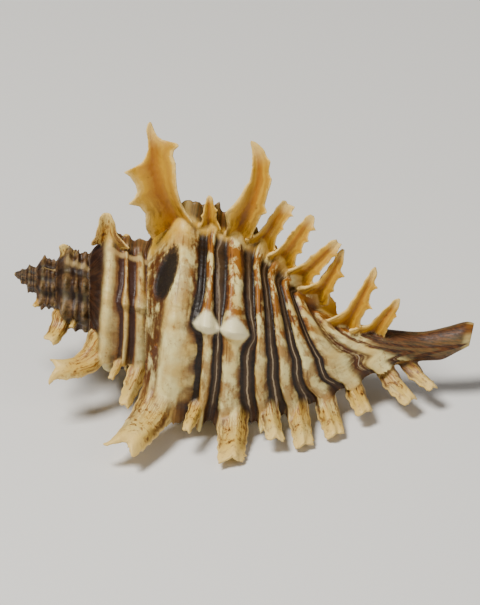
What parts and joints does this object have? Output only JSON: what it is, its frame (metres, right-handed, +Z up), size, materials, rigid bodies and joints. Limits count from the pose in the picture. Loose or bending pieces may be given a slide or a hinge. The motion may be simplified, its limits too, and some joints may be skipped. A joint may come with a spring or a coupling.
{
  "type": "murex shell",
  "caption": "Heavily frilled spiral sea shell with horn-like fronds on its varices, an oval mouth and a long bent siphonal canal, lying mouth down on its frond tips.",
  "frame": {"origin": "bottom centre of the shell's bounding box, on the surface that it lies on", "axes": "+Z up as it lies at rest, +X roughly along the coiling axis from the apex to the canal's tip, -Y towards the lip, which is the side it is shown from"},
  "size_m": [0.1044, 0.0772, 0.0661],
  "materials": {
    "shell": "cream natural shell with dark brown spiral stripes and amber fronds, slightly waxy"
  },
  "bodies": {
    "root": {"shell": "shell"}
  },
  "joints": []
}
